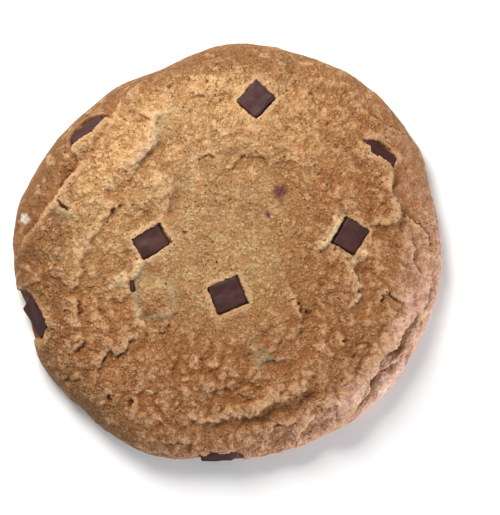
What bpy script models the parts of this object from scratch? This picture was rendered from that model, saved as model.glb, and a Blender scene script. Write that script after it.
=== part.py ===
"""A large round bakery cookie with chocolate chunks, resting flat on its underside.

The dough is one solid: a low dome with a wavy outline, a rounded shoulder that is steeper on
one side, a slightly sunken middle, and the folds that the crust made as it spread and fell.
Each chunk of chocolate that shows is a solid of its own in a pocket cut to its shape.

Metres, +Z up. The origin is under the middle of the cookie, on the plane it rests on.
+Y runs from the middle towards the uppermost chunk.
"""

import math

import bmesh
import bpy
from mathutils import Matrix, Vector, noise

MM = 0.001

# Dough: its size seen from above, and its section.
MEAN_RADIUS = 53.1 * MM
CROWN_HEIGHT = 13.6 * MM
BELLY_HEIGHT = 3.6 * MM
FOOT_INSET = 2.2 * MM
HOLLOW_DEPTH = 1.7 * MM
HOLLOW_RADIUS = 24.0 * MM
LUMP_HEIGHT = 0.55 * MM
LUMP_LENGTH = 11.0 * MM

# The shoulder follows (1 - s^n)^(1/2) out to s = 1 at the edge. n swings with the bearing.
SHOULDER_POWER = 6.0
SHOULDER_SWING = 2.0
STEEPEST_BEARING = 280.0

# Slow waves of the outline: times round the edge, height, bearing of one crest.
OUTLINE_WAVES = (
    (1, 0.9 * MM, -46.0),
    (2, 1.6 * MM, 30.0),
    (3, 0.45 * MM, 58.0),
    (4, 0.55 * MM, -25.0),
    (5, 0.4 * MM, 25.0),
)

# Short dents (below zero) and bulges of the outline: bearing, height, half width in degrees.
OUTLINE_DENTS = (
    (16.0, -0.8 * MM, 7.0),
    (70.0, -0.4 * MM, 9.0),
    (88.0, 0.7 * MM, 7.0),
    (110.0, -0.9 * MM, 7.0),
    (124.0, 0.7 * MM, 6.0),
    (155.0, -0.45 * MM, 9.0),
    (196.0, -1.5 * MM, 4.0),
    (212.0, 0.9 * MM, 5.0),
    (231.0, -0.8 * MM, 6.0),
    (248.0, 0.6 * MM, 6.0),
    (263.0, -0.9 * MM, 4.0),
    (350.0, 0.6 * MM, 11.0),
)

# Folds of the crust, each an arc round the middle: bearing of its middle, half its sweep in
# degrees, radius, and rise of its lip. A rise above zero puts the lip inside the arc.
FOLDS = (
    (-72.0, 26.0, 39.5 * MM, 1.1 * MM),
    (-12.0, 16.0, 32.0 * MM, 0.9 * MM),
    (-43.0, 30.0, 47.6 * MM, 1.3 * MM),
    (20.0, 12.0, 44.5 * MM, 1.0 * MM),
    (72.0, 36.0, 25.5 * MM, -0.8 * MM),
    (130.0, 24.0, 33.0 * MM, -1.0 * MM),
    (138.0, 15.0, 20.0 * MM, -0.9 * MM),
)
LIP_WIDTH = 4.5 * MM
VALLEY_WIDTH = 1.6 * MM
VALLEY_SHARE = 0.8

# Mesh of the dough. Ring k of the top has 6 k points, so its triangles are all of one size.
TOP_RINGS = 28
RING_CROWDING = 1.4
# Rings from the belly down to the foot: share of the belly's height, share of the foot's inset.
FOOT_RINGS = ((0.62, 0.12), (0.3, 0.4), (0.1, 0.75))

# Chocolate chunks: name, x, y, width, depth, turn in degrees, how far the top stands proud of
# the dough, and how much of the dough's slope the chunk follows.
CHUNK_THICKNESS = 5.0 * MM
CHUNK_TAPER = 0.93
CHUNK_EDGE = 0.35 * MM
CHUNKS = (
    ("chunk_top", 7.3, 38.0, 7.9, 6.9, 48.0, 0.2, 1.0),
    ("chunk_left", -19.2, 3.1, 8.2, 7.4, 31.0, 0.2, 0.6),
    ("chunk_middle", 0.2, -10.6, 8.5, 7.9, 22.0, 0.2, 0.6),
    ("chunk_right", 31.0, 3.9, 7.9, 6.9, 58.0, -0.2, 1.0),
    ("chunk_upper_right", 37.5, 24.2, 9.8, 5.6, -38.7, -0.1, 1.0),
    ("chunk_upper_left", -34.5, 30.1, 10.6, 5.2, 40.0, -0.1, 1.1),
)
# Chunks set into the side: name, x, y, z, width, depth, turn, and lean away from the middle.
SIDE_CHUNK_THICKNESS = 3.2 * MM
SIDE_CHUNKS = (
    ("chunk_left_edge", -47.9, -16.2, 7.6, 10.6, 7.6, -46.0, 57.0),
    ("chunk_lower_edge", -1.6, -51.3, 6.4, 11.0, 6.0, 4.0, 60.0),
)
# Small bits of chocolate that show through the crust, with the same columns.
BIT_THICKNESS = 2.0 * MM
BITS = (
    ("bit_left", -40.5, 11.5, 3.4, 1.6, -32.0, 0.1, 1.0),
    ("bit_slit", -23.3, -8.4, 1.3, 3.2, 4.0, 0.0, 0.5),
)
POCKET_GAP = 0.3 * MM
CUTTER_REACH = 6.0 * MM
SLOPE_STEP = 1.5 * MM

DOUGH_COLOUR = (0.46, 0.25, 0.105)
CHOCOLATE_COLOUR = (0.07, 0.03, 0.028)


def bell(distance, width):
    """A smooth bump of height 1 that has fallen to 1/e at the given distance."""
    return math.exp(-((distance / width) ** 2))


def turn_between(bearing, other):
    """The smaller angle between two bearings, in degrees."""
    return abs((bearing - other + 180.0) % 360.0 - 180.0)


def edge_radius(bearing):
    """Distance of the outline from the middle at a bearing in degrees."""
    radius = MEAN_RADIUS
    for times, height, crest in OUTLINE_WAVES:
        radius += height * math.cos(math.radians(times * (bearing - crest)))
    for place, height, half_width in OUTLINE_DENTS:
        radius += height * bell(turn_between(bearing, place), half_width)
    return radius


def fold_relief(radius, bearing):
    """Height that the crust's folds add at a place given by its radius and bearing."""
    total = 0.0
    for place, half_sweep, fold_radius, rise in FOLDS:
        off = turn_between(bearing, place) / half_sweep
        if off >= 1.0:
            continue
        share = math.cos(off * math.pi / 2) ** 0.7
        outward = (radius - fold_radius) * math.copysign(1.0, rise)
        if outward < 0.0:
            total += abs(rise) * share * bell(outward, LIP_WIDTH)
        else:
            drop = (1.0 + VALLEY_SHARE) * bell(outward, VALLEY_WIDTH / 2) - VALLEY_SHARE
            total += abs(rise) * share * drop * bell(outward, 2 * VALLEY_WIDTH)
    return total


def top_height(x, y):
    """Height of the top of the dough, folds and lumps included, at a place inside the outline."""
    radius = math.hypot(x, y)
    bearing = math.degrees(math.atan2(y, x))
    share = min(radius / edge_radius(bearing), 1.0)
    power = SHOULDER_POWER + SHOULDER_SWING * math.cos(math.radians(bearing - STEEPEST_BEARING))
    shoulder = math.sqrt(max(1.0 - share**power, 0.0))
    crown = CROWN_HEIGHT - HOLLOW_DEPTH * bell(radius, HOLLOW_RADIUS)
    crown += fold_relief(radius, bearing)
    crown += LUMP_HEIGHT * noise.noise(Vector((x, y, 0.0)) / LUMP_LENGTH)
    return BELLY_HEIGHT + (crown - BELLY_HEIGHT) * shoulder


def ring_points(count, place):
    """Points all round a ring. place gives each one from its bearing."""
    return [place(360.0 * i / count) for i in range(count)]


def top_point(share):
    """A function that gives the point of the top at a share of the way out to the edge."""

    def place(bearing):
        radius = share * edge_radius(bearing)
        x = radius * math.cos(math.radians(bearing))
        y = radius * math.sin(math.radians(bearing))
        return Vector((x, y, top_height(x, y)))

    return place


def foot_point(height_share, inset_share):
    """A function that gives the point of the side between the belly and the foot."""

    def place(bearing):
        radius = edge_radius(bearing) - inset_share * FOOT_INSET
        x = radius * math.cos(math.radians(bearing))
        y = radius * math.sin(math.radians(bearing))
        return Vector((x, y, height_share * BELLY_HEIGHT))

    return place


def join_fan_rings(mesh, inner, outer):
    """Fills between a ring of 6 (k - 1) points and one of 6 k points with even triangles."""
    steps = len(outer) // 6
    for sector in range(6):
        for i in range(steps):
            here = outer[sector * steps + i]
            after = outer[(sector * steps + i + 1) % len(outer)]
            below = inner[(sector * (steps - 1) + i) % len(inner)]
            mesh.faces.new((here, after, below))
            if i < steps - 1:
                below_after = inner[(sector * (steps - 1) + i + 1) % len(inner)]
                mesh.faces.new((below, after, below_after))


def join_even_rings(mesh, upper, lower):
    """Fills between two rings of as many points each, one under the other."""
    count = len(upper)
    for i in range(count):
        after = (i + 1) % count
        mesh.faces.new((lower[i], lower[after], upper[after], upper[i]))


def dough_mesh():
    """The closed mesh of the dough, before its pockets are cut."""
    mesh = bmesh.new()
    inner = [mesh.verts.new(top_point(0.0)(0.0))]
    for k in range(1, TOP_RINGS + 1):
        share = 1.0 - (1.0 - k / TOP_RINGS) ** RING_CROWDING
        outer = [mesh.verts.new(p) for p in ring_points(6 * k, top_point(share))]
        join_fan_rings(mesh, inner, outer)
        inner = outer
    upper = inner
    for height_share, inset_share in (*FOOT_RINGS, (0.0, 1.0)):
        lower = [
            mesh.verts.new(p)
            for p in ring_points(len(upper), foot_point(height_share, inset_share))
        ]
        join_even_rings(mesh, upper, lower)
        upper = lower
    mesh.faces.new(list(reversed(upper)))
    bmesh.ops.recalc_face_normals(mesh, faces=mesh.faces)
    data = bpy.data.meshes.new("cookie")
    mesh.to_mesh(data)
    mesh.free()
    return data


def material(name, colour, roughness):
    """A plain Principled material."""
    made = bpy.data.materials.new(name)
    made.use_nodes = True
    shader = made.node_tree.nodes["Principled BSDF"]
    shader.inputs["Base Color"].default_value = (*colour, 1.0)
    shader.inputs["Roughness"].default_value = roughness
    shader.inputs["Metallic"].default_value = 0.0
    return made


def add_object(name, data, finish=None):
    """Puts a mesh in the scene as an object with one material."""
    made = bpy.data.objects.new(name, data)
    bpy.context.scene.collection.objects.link(made)
    if finish is not None:
        data.materials.append(finish)
    return made


def upright_frame(place, upright, turn):
    """A frame at a place, turned about its own upright, which points the given way."""
    lean = Vector((0.0, 0.0, 1.0)).rotation_difference(upright).to_matrix().to_4x4()
    spin = Matrix.Rotation(math.radians(turn), 4, "Z")
    return Matrix.Translation(place) @ lean @ spin


def surface_frame(x, y, turn, follow):
    """Where a chunk sits: on the dough at x, y, and leaning with it."""
    across = top_height(x + SLOPE_STEP, y) - top_height(x - SLOPE_STEP, y)
    along = top_height(x, y + SLOPE_STEP) - top_height(x, y - SLOPE_STEP)
    upright = Vector((-across * follow, -along * follow, 2 * SLOPE_STEP)).normalized()
    return upright_frame((x, y, top_height(x, y)), upright, turn)


def side_frame(x, y, z, turn, lean):
    """Where a chunk of the side sits: at x, y, z, and leaning away from the middle."""
    outward = Vector((x, y, 0.0)).normalized() * math.sin(math.radians(lean))
    return upright_frame((x, y, z), outward + Vector((0.0, 0.0, math.cos(math.radians(lean)))), turn)


def block_mesh(name, width, depth, top, bottom, taper):
    """A block with its own upright along Z. taper is the top's size as a share of the bottom's."""
    mesh = bmesh.new()
    bmesh.ops.create_cube(mesh, size=1.0)
    for vert in mesh.verts:
        share = taper if vert.co.z > 0 else 1.0
        vert.co.x *= width * share
        vert.co.y *= depth * share
        vert.co.z = top if vert.co.z > 0 else bottom
    data = bpy.data.meshes.new(name)
    mesh.to_mesh(data)
    mesh.free()
    return data


def add_chunk(name, place, width, depth, top, thickness, finish):
    """One piece of chocolate, and the cutter of its pocket. top is its height in its frame."""
    data = block_mesh(name, width, depth, top, top - thickness, CHUNK_TAPER)
    chunk = add_object(name, data, finish)
    chunk.matrix_world = place
    bevel = chunk.modifiers.new("edges", "BEVEL")
    bevel.width = min(CHUNK_EDGE, 0.15 * min(width, depth))
    bevel.segments = 2
    bevel.limit_method = "ANGLE"

    cutter_name = name + "_cutter"
    data = block_mesh(
        cutter_name,
        width + 2 * POCKET_GAP,
        depth + 2 * POCKET_GAP,
        top + CUTTER_REACH,
        top - thickness - POCKET_GAP,
        1.0,
    )
    cutter = add_object(cutter_name, data)
    cutter.matrix_world = place
    cutter.hide_render = True
    cutter.display_type = "WIRE"
    return cutter


def cut_pocket(dough, cutter):
    """Takes the space of one chunk out of the dough."""
    cut = dough.modifiers.new(cutter.name, "BOOLEAN")
    cut.operation = "DIFFERENCE"
    cut.solver = "EXACT"
    cut.object = cutter


def centre_on_origin():
    """Moves everything together, so that the middle of the box round it is over the origin."""
    bpy.context.view_layer.update()
    depsgraph = bpy.context.evaluated_depsgraph_get()
    corners = []
    for piece in bpy.context.scene.objects:
        if not piece.hide_render:
            shaped = piece.evaluated_get(depsgraph)
            corners += [piece.matrix_world @ vert.co for vert in shaped.data.vertices]
    middle = [(min(c[i] for c in corners) + max(c[i] for c in corners)) / 2 for i in range(2)]
    for piece in bpy.context.scene.objects:
        piece.location.x -= middle[0]
        piece.location.y -= middle[1]


def main():
    """Clears the scene and builds the cookie."""
    for old in list(bpy.data.objects):
        bpy.data.objects.remove(old)
    dough_finish = material("baked_dough", DOUGH_COLOUR, 0.8)
    chocolate_finish = material("chocolate", CHOCOLATE_COLOUR, 0.42)

    data = dough_mesh()
    data.shade_smooth()
    dough = add_object("cookie", data, dough_finish)
    for rows, thickness in ((CHUNKS, CHUNK_THICKNESS), (BITS, BIT_THICKNESS)):
        for name, x, y, width, depth, turn, proud, follow in rows:
            place = surface_frame(x * MM, y * MM, turn, follow)
            size = (width * MM, depth * MM, proud * MM, thickness)
            cut_pocket(dough, add_chunk(name, place, *size, chocolate_finish))
    for name, x, y, z, width, depth, turn, lean in SIDE_CHUNKS:
        place = side_frame(x * MM, y * MM, z * MM, turn, lean)
        size = (width * MM, depth * MM, 0.0, SIDE_CHUNK_THICKNESS)
        cut_pocket(dough, add_chunk(name, place, *size, chocolate_finish))
    centre_on_origin()


main()
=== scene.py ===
"""A large bakery cookie with square chunks of dark chocolate, on a pale table in soft light.

The dough is one piece, sculpted from its plain solid: the lumps of the crumb, the folds and
torn lips of the crust, the seats of the chunks and the pits where bubbles broke. Each chunk
of chocolate is a piece of its own, and the loose crumbs are another.

Metres, +Z up. Places on the cookie are given in millimetres from its middle.
"""

import math

import bpy
import numpy as np
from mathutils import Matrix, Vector, noise
from mathutils.bvhtree import BVHTree


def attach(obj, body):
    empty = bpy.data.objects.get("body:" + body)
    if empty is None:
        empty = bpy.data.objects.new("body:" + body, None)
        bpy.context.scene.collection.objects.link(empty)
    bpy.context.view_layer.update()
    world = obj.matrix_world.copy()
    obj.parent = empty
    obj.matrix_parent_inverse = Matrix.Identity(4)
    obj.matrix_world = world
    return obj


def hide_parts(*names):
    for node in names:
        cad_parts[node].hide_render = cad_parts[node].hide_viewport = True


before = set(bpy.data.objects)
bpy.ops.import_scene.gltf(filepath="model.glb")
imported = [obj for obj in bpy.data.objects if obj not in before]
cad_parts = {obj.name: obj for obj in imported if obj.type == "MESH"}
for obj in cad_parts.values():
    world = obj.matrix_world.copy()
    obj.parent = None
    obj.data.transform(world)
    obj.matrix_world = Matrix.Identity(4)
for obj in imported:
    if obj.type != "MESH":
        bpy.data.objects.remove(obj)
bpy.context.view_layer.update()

# Without a seed of its own, the wander of the tears would go by the clock.
noise.seed_set(1)

MM = 0.001
DOUGH_GRAIN = 0.4 * MM
CHOCOLATE_GRAIN = 0.2 * MM
SCENE = bpy.context.scene


# ---------------------------------------------------------------- working with objects


def take(piece):
    """Leaves one object selected and active, out of edit mode."""
    if bpy.context.object and bpy.context.object.mode != "OBJECT":
        bpy.ops.object.mode_set(mode="OBJECT")
    bpy.ops.object.select_all(action="DESELECT")
    piece.select_set(True)
    bpy.context.view_layer.objects.active = piece


def edit(piece, kind="FACE"):
    """Opens one object in edit mode with nothing in it selected."""
    take(piece)
    bpy.ops.object.mode_set(mode="EDIT")
    bpy.ops.mesh.select_mode(type=kind)
    bpy.ops.mesh.select_all(action="DESELECT")


def close_edit():
    bpy.ops.object.mode_set(mode="OBJECT")


def select_faces(piece, wanted):
    """In edit mode, selects the faces that wanted(face) accepts."""
    bpy.ops.object.mode_set(mode="OBJECT")
    for face in piece.data.polygons:
        face.select = wanted(face)
    bpy.ops.object.mode_set(mode="EDIT")


def finish_modifier(piece, kind, **settings):
    """Adds one modifier, sets it and applies it."""
    take(piece)
    modifier = piece.modifiers.new(kind.lower(), kind)
    for key, value in settings.items():
        setattr(modifier, key, value)
    bpy.ops.object.modifier_apply(modifier=modifier.name)


def copy_solid(node, name):
    """A new object with a copy of a plain solid's mesh, its loose triangles merged."""
    piece = bpy.data.objects.new(name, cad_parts[node].data.copy())
    SCENE.collection.objects.link(piece)
    piece.data.materials.clear()
    edit(piece, "VERT")
    bpy.ops.mesh.select_all(action="SELECT")
    bpy.ops.mesh.remove_doubles(threshold=0.000002)
    bpy.ops.mesh.customdata_custom_splitnormals_clear()
    close_edit()
    return piece


def cloud(name, size, depth):
    """A noise texture for the Displace modifier, of a given lump size in millimetres."""
    texture = bpy.data.textures.new(name, "CLOUDS")
    texture.noise_scale = size * MM
    texture.noise_depth = depth
    return texture


def bubbles(name, size):
    """A texture of round cells for the Displace modifier, of a given size in millimetres."""
    texture = bpy.data.textures.new(name, "VORONOI")
    texture.noise_scale = size * MM
    return texture


def swell(piece, texture, height, group=""):
    """Pushes a surface in and out by a texture, by height in millimetres."""
    finish_modifier(
        piece,
        "DISPLACE",
        texture=texture,
        texture_coords="LOCAL",
        strength=height * MM,
        mid_level=0.5,
        vertex_group=group,
    )


def weigh(piece, name, weights):
    """A vertex group from one weight for each vertex."""
    group = piece.vertex_groups.new(name=name)
    steps = np.round(np.clip(weights, 0.0, 1.0) * 40).astype(int)
    for step in range(1, 41):
        members = np.nonzero(steps == step)[0]
        if len(members):
            group.add(members.tolist(), step / 40, "REPLACE")


def points_of(piece):
    values = np.empty(len(piece.data.vertices) * 3)
    piece.data.vertices.foreach_get("co", values)
    return values.reshape(-1, 3)


def normals_of(piece):
    values = np.empty(len(piece.data.vertices) * 3, np.float32)
    piece.data.vertex_normals.foreach_get("vector", values)
    return values.reshape(-1, 3).astype(float)


def store(piece, name, values):
    """Keeps one number for each vertex, for the materials to read."""
    layer = piece.data.attributes.new(name, "FLOAT", "POINT")
    layer.data.foreach_set("value", np.asarray(values, np.float32))


def smooth_step(value, low, high):
    share = np.clip((value - low) / (high - low), 0.0, 1.0)
    return share * share * (3.0 - 2.0 * share)


def bell(distance, width):
    return np.exp(-((distance / width) ** 2))


# ---------------------------------------------------------------- the bare dough


def close_pockets(dough):
    """Takes out the walls and floors of the chunks' pockets and closes their mouths."""
    edit(dough)
    crown = max(dough.data.polygons, key=lambda face: face.center.z - face.center.xy.length)
    start = crown.index
    select_faces(dough, lambda face: face.index == start)
    bpy.ops.mesh.faces_select_linked_flat(sharpness=math.radians(42))
    bpy.ops.mesh.select_all(action="INVERT")
    bpy.ops.mesh.delete(type="FACE")
    bpy.ops.mesh.select_all(action="SELECT")
    bpy.ops.mesh.fill_holes(sides=0)
    bpy.ops.mesh.select_all(action="SELECT")
    bpy.ops.mesh.normals_make_consistent(inside=False)
    close_edit()


def bare_dough():
    """The dough as an even fine mesh, without pockets, thinned out on the underside."""
    dough = copy_solid("cookie", "dough")
    close_pockets(dough)
    finish_modifier(dough, "REMESH", mode="VOXEL", voxel_size=DOUGH_GRAIN, adaptivity=0.0)
    finish_modifier(dough, "SMOOTH", factor=0.5, iterations=24)
    weigh(dough, "underside", (normals_of(dough)[:, 2] < -0.8).astype(float))
    faces = len(dough.data.polygons)
    under = sum(1 for face in dough.data.polygons if face.normal.z < -0.8)
    keep = (faces - 0.9 * under) / faces
    finish_modifier(
        dough, "DECIMATE", decimate_type="COLLAPSE", ratio=keep, vertex_group="underside"
    )
    return dough


# ---------------------------------------------------------------- paths on the crust


def course(corners, wander, seed):
    """A close-set path through a few corners, in metres, that wanders like a tear."""
    ends = [corners[0], *corners, corners[-1]]
    line = []
    for a, b, c, d in zip(ends, ends[1:], ends[2:], ends[3:]):
        a, b, c, d = (np.array(p, float) for p in (a, b, c, d))
        steps = max(int(np.linalg.norm(c - b) / 0.22), 2)
        for i in range(steps):
            t = i / steps
            line.append(
                0.5
                * (
                    2 * b
                    + (c - a) * t
                    + (2 * a - 5 * b + 4 * c - d) * t * t
                    + (3 * b - a - 3 * c + d) * t**3
                )
            )
    line.append(np.array(corners[-1], float))
    moved = []
    for p in line:
        at = Vector((p[0] * 0.9, p[1] * 0.9, seed * 7.3))
        off = noise.turbulence_vector(at, 3, False) * wander
        moved.append((p[0] + off.x, p[1] + off.y))
    return np.array(moved) * MM


def beside(points, path, reach):
    """For the vertices near a path: their numbers, how far each is to its left, how far along it
    is, and the path's heading there."""
    low = path.min(0) - reach
    high = path.max(0) + reach
    near = np.nonzero(np.all((points[:, :2] > low) & (points[:, :2] < high), axis=1))[0]
    heading = np.gradient(path, axis=0)
    heading /= np.maximum(np.linalg.norm(heading, axis=1), 1e-9)[:, None]
    nearest = np.empty(len(near), int)
    for i in range(0, len(near), 4096):
        block = points[near[i : i + 4096], :2]
        gaps = ((block[:, None, :] - path[None, :, :]) ** 2).sum(2)
        nearest[i : i + 4096] = gaps.argmin(1)
    away = points[near, :2] - path[nearest]
    tangent = heading[nearest]
    side = tangent[:, 0] * away[:, 1] - tangent[:, 1] * away[:, 0]
    distance = np.linalg.norm(away, axis=1)
    kept = distance < reach
    left = np.where(side >= 0, distance, -distance)
    return near[kept], left[kept], nearest[kept] / (len(path) - 1), tangent[kept]


class Crust:
    """The dough's surface while it is sculpted: its vertices and what is noted about each."""

    # Some notes are painted light: the splits, the creases and the shade at the foot of steps
    # darken the crust as painted shade, the lips lighten it as painted highlight, and the pink of
    # the lower right rim is partly painted sheen.
    NOTES = (
        "split", "torn", "lip", "painted_shade", "green", "smear", "pink_and_sheen", "pale", "whitish", "calm",
        "rim", "crease",
    )

    def __init__(self, piece):
        self.piece = piece
        self.points = points_of(piece)
        self.normals = normals_of(piece)
        self.upper = smooth_step(self.normals[:, 2], -0.1, 0.25)
        self.crumble = np.array([
            noise.fractal(Vector(p) / (1.5 * MM), 0.9, 2.1, 3) for p in self.points
        ])
        self.notes = {name: np.zeros(len(self.points)) for name in self.NOTES}

    def note(self, name, which, values):
        """Keeps the higher of the old and new value of a note."""
        old = self.notes[name][which]
        self.notes[name][which] = np.maximum(old, np.clip(values, 0.0, 1.0))

    def put_back(self):
        self.piece.data.vertices.foreach_set("co", self.points.ravel())
        self.piece.data.update()
        self.normals = normals_of(self.piece)


def along_noise(path, along, size, seed):
    """Noise between -1 and 1 for places along a path, with lumps of a size in millimetres."""
    wave = np.array([
        noise.noise(Vector((p[0], p[1], seed * 3.1 * MM)) / (size * MM)) for p in path
    ])
    return wave[np.round(along * (len(path) - 1)).astype(int)]


def fold(
    crust, corners, rise, fall, split, high="right", wall=0.4, over=0.0, torn=0.0, crest=4.6,
    hollow=3.6, gape=0.3, wander=0.5, seed=1, fade=0.16, ragged=0.35, uneven=0.6
):
    """A step in the crust along a path. The high side stands up by rise, the low side drops by
    fall, and the crust is split here and there between them. All in millimetres."""
    path = course(corners, wander, seed)
    reach = 2.1 * max(crest, hollow) * MM
    which, left, along, tangent = beside(crust.points, path, reach)
    inward = (left if high == "left" else -left) / MM
    edge = inward + ragged * crust.crumble[which] * bell(inward, 1.6)
    strength = smooth_step(along, 0.0, fade) * smooth_step(1.0 - along, 0.0, fade)
    strength = strength * (1.0 + uneven * along_noise(path, along, 5.0, seed))
    strength = np.clip(strength, 0.0, 1.5) * crust.upper[which]
    broken = smooth_step(along_noise(path, along, 2.6, seed + 40), -0.35, 0.25) * strength

    top = rise * bell(np.maximum(edge, 0.0), crest) * (1.0 - 0.3 * bell(edge, 0.45))
    low = -fall * bell(np.minimum(edge + wall, 0.0), hollow)
    blend = smooth_step(edge, -wall, 0.0)
    height = (low + (top - low) * blend) * strength
    height = height - split * broken * bell(edge + 0.5 * wall, gape)
    crust.points[which] += crust.normals[which] * height[:, None] * MM

    if over:
        across = np.stack((tangent[:, 1], -tangent[:, 0]), axis=1)
        if high == "right":
            across = -across
        push = over * strength * bell(np.maximum(edge - 0.2, 0.0), 0.9) * (edge > -0.15)
        crust.points[which, :2] += across * push[:, None] * MM

    # The dark noted for the split is painted shade in the crack.
    crust.note("split", which, broken * min(split * 1.8, 1.0) * bell(edge + 0.5 * wall, gape))
    # Painted shade at the foot of the step's low side.
    crust.note("painted_shade", which, strength * min(fall, 1.0) * bell(edge + wall + 0.7, 1.6))
    # The light noted for the lip is a painted highlight on the step's raised edge.
    crust.note("lip", which, strength * min(rise, 1.0) * bell(edge - 0.35, 0.6))
    if torn:
        frayed = torn * smooth_step(crust.crumble[which], -0.5, 0.3)
        wide = bell(edge + 0.3 * wall, 0.4 + 0.5 * wall)
        crust.note("torn", which, frayed * strength * wide)


def crinkle(crust, size, depth, width, share, seed):
    """Parts the crust into lumps of a size by soft creases that come and go, in millimetres."""
    which = np.nonzero(share > 0.03)[0]
    shift = Vector((1.7, 2.3, 0.9)) * seed
    places = [Vector(p) / (size * MM) + shift for p in crust.points[which]]
    wave = np.array([noise.noise(p) for p in places])
    gate = smooth_step(np.array([noise.noise(p * 0.55 + shift) for p in places]), -0.22, 0.15)
    away = np.abs(wave) * size / 1.3
    share = share[which]
    valley = np.exp(-((away / width) ** 1.6)) * gate
    puffed = 1.0 - bell(away, 0.3 * size)
    height = depth * share * (0.5 * puffed - valley)
    crust.points[which] += crust.normals[which] * height[:, None] * MM
    # The dark noted for the crease is painted shade in the valley.
    crust.note("crease", which, valley * share * min(depth / 0.3, 1.0))


def undercut(crust, corners, depth, height, seed=1, wander=0.3, fade=0.12):
    """A cleft under the edge of the crust along a path: the side below it is pushed in."""
    path = course(corners, wander, seed)
    which, left, along, tangent = beside(crust.points, path, 3.2 * height * MM)
    outward = left / MM
    strength = smooth_step(along, 0.0, fade) * smooth_step(1.0 - along, 0.0, fade)
    strength = strength * (1.0 + 0.5 * along_noise(path, along, 6.0, seed))
    inside = smooth_step(outward, -0.1, 0.5)
    inside *= bell(np.maximum(outward - 0.5 * height, 0.0), height)
    push = depth * strength * inside
    across = np.stack((-tangent[:, 1], tangent[:, 0]), axis=1)
    crust.points[which, :2] -= across * push[:, None] * MM
    crust.points[which, 2] -= 0.35 * push * MM
    deep = min(depth, 1.0)
    # The dark noted for the split is painted shade in the cleft.
    crust.note("split", which, 0.7 * deep * strength * bell(outward - 0.3, 0.5))
    # Painted shade in the cleft under the crust's edge.
    crust.note("painted_shade", which, 0.7 * deep * strength * bell(outward - 1.0, 1.2))


def pit(crust, x, y, width, depth, seed):
    """A hole where a bubble broke, with a ragged mouth."""
    which, away, distance = around(crust, x, y, 2.5 * width)
    angle = np.arctan2(away[:, 1], away[:, 0])
    ragged = 1.0 + 0.28 * np.sin(2 * angle + seed) + 0.2 * np.sin(3 * angle + 2.3 * seed)
    shape = np.exp(-((distance / (0.62 * width * ragged)) ** 4)) * crust.upper[which]
    crust.points[which] -= crust.normals[which] * (depth * MM * shape)[:, None]
    # The dark noted for the split is painted shade in the pit.
    crust.note("split", which, 0.75 * shape)


def around(crust, x, y, reach):
    """The vertices round a place: their numbers, and their way from it and its length, in
    millimetres."""
    away = crust.points[:, :2] / MM - (x, y)
    distance = np.hypot(away[:, 0], away[:, 1])
    which = np.nonzero(distance < reach)[0]
    return which, away[which], distance[which]


def mound(crust, x, y, width, depth, turn, height, edge=0.35, green=0.0):
    """A low rise over a chunk that lies under the crust, with its corners softened."""
    which, away, _ = around(crust, x, y, 1.6 * max(width, depth))
    angle = math.radians(turn)
    u = (away[:, 0] * math.cos(angle) + away[:, 1] * math.sin(angle)) / (0.5 * width)
    v = (-away[:, 0] * math.sin(angle) + away[:, 1] * math.cos(angle)) / (0.5 * depth)
    span = (np.abs(u) ** 3.5 + np.abs(v) ** 3.5) ** (1 / 3.5)
    shape = 1.0 - smooth_step(span, 1.0 - edge, 1.0 + edge)
    rise = height * MM * shape * crust.upper[which]
    crust.points[which] += crust.normals[which] * rise[:, None]
    if green:
        crust.note("green", which, green * bell(span - 0.95, 0.22))


def stain(crust, name, x, y, width, depth, turn, strength, ragged=0.3, seed=0.0):
    """A soft-edged patch of one note."""
    which, away, _ = around(crust, x, y, 1.5 * max(width, depth))
    angle = math.radians(turn)
    u = (away[:, 0] * math.cos(angle) + away[:, 1] * math.sin(angle)) / (0.5 * width)
    v = (-away[:, 0] * math.sin(angle) + away[:, 1] * math.cos(angle)) / (0.5 * depth)
    span = np.hypot(u, v)
    bearing = np.arctan2(v, u)
    span = span * (1 + ragged * np.sin(3 * bearing + seed) * np.cos(bearing * 2 + 2 * seed))
    crust.note(name, which, strength * (1.0 - smooth_step(span, 0.55, 1.15)))


# ---------------------------------------------------------------- chunks and their seats


class Block:
    """Where one chunk of chocolate lies: its top's middle, its axes and half its size."""

    def __init__(self, node):
        flat = copy_solid(node, node + "_flat")
        edit(flat)
        bpy.ops.mesh.select_all(action="SELECT")
        bpy.ops.mesh.dissolve_limited(angle_limit=math.radians(2))
        close_edit()
        top = max(flat.data.polygons, key=lambda face: face.area * max(face.normal.z, 0.0))
        corners = [flat.data.vertices[i].co for i in top.vertices]
        self.up = top.normal.copy()
        self.middle = sum(corners, Vector()) / len(corners)
        edge = max(
            (corners[i - 1] - corners[i] for i in range(len(corners))),
            key=lambda e: abs(e.x) * e.length,
        )
        self.along = (edge if edge.x > 0 else -edge).normalized()
        self.across = self.up.cross(self.along).normalized()
        self.half = (
            max(abs((c - self.middle).dot(self.along)) for c in corners),
            max(abs((c - self.middle).dot(self.across)) for c in corners),
        )
        bpy.data.objects.remove(flat)

    def local(self, points):
        """Places seen from the chunk, in millimetres: along it, across it and above its top."""
        away = (points - np.array(self.middle)) / MM
        axes = np.array([self.along, self.across, self.up])
        return away @ axes.T


def depth_inside(points, corners):
    """How far each place is inside a ring of corners seen from above, in millimetres."""
    ring = np.array(corners, float)
    away = np.full(len(points), np.inf)
    crossings = np.zeros(len(points), int)
    for a, b in zip(ring, np.roll(ring, -1, axis=0)):
        span = b - a
        share = np.clip(((points - a) @ span) / (span @ span), 0.0, 1.0)
        away = np.minimum(away, np.linalg.norm(points - (a + share[:, None] * span), axis=1))
        straddles = (a[1] > points[:, 1]) != (b[1] > points[:, 1])
        rate = (points[:, 1] - a[1]) / (b[1] - a[1] + 1e-12)
        crossings += straddles & (points[:, 0] < a[0] + rate * (b[0] - a[0]))
    return np.where(crossings % 2 == 1, away, -away)


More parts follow.
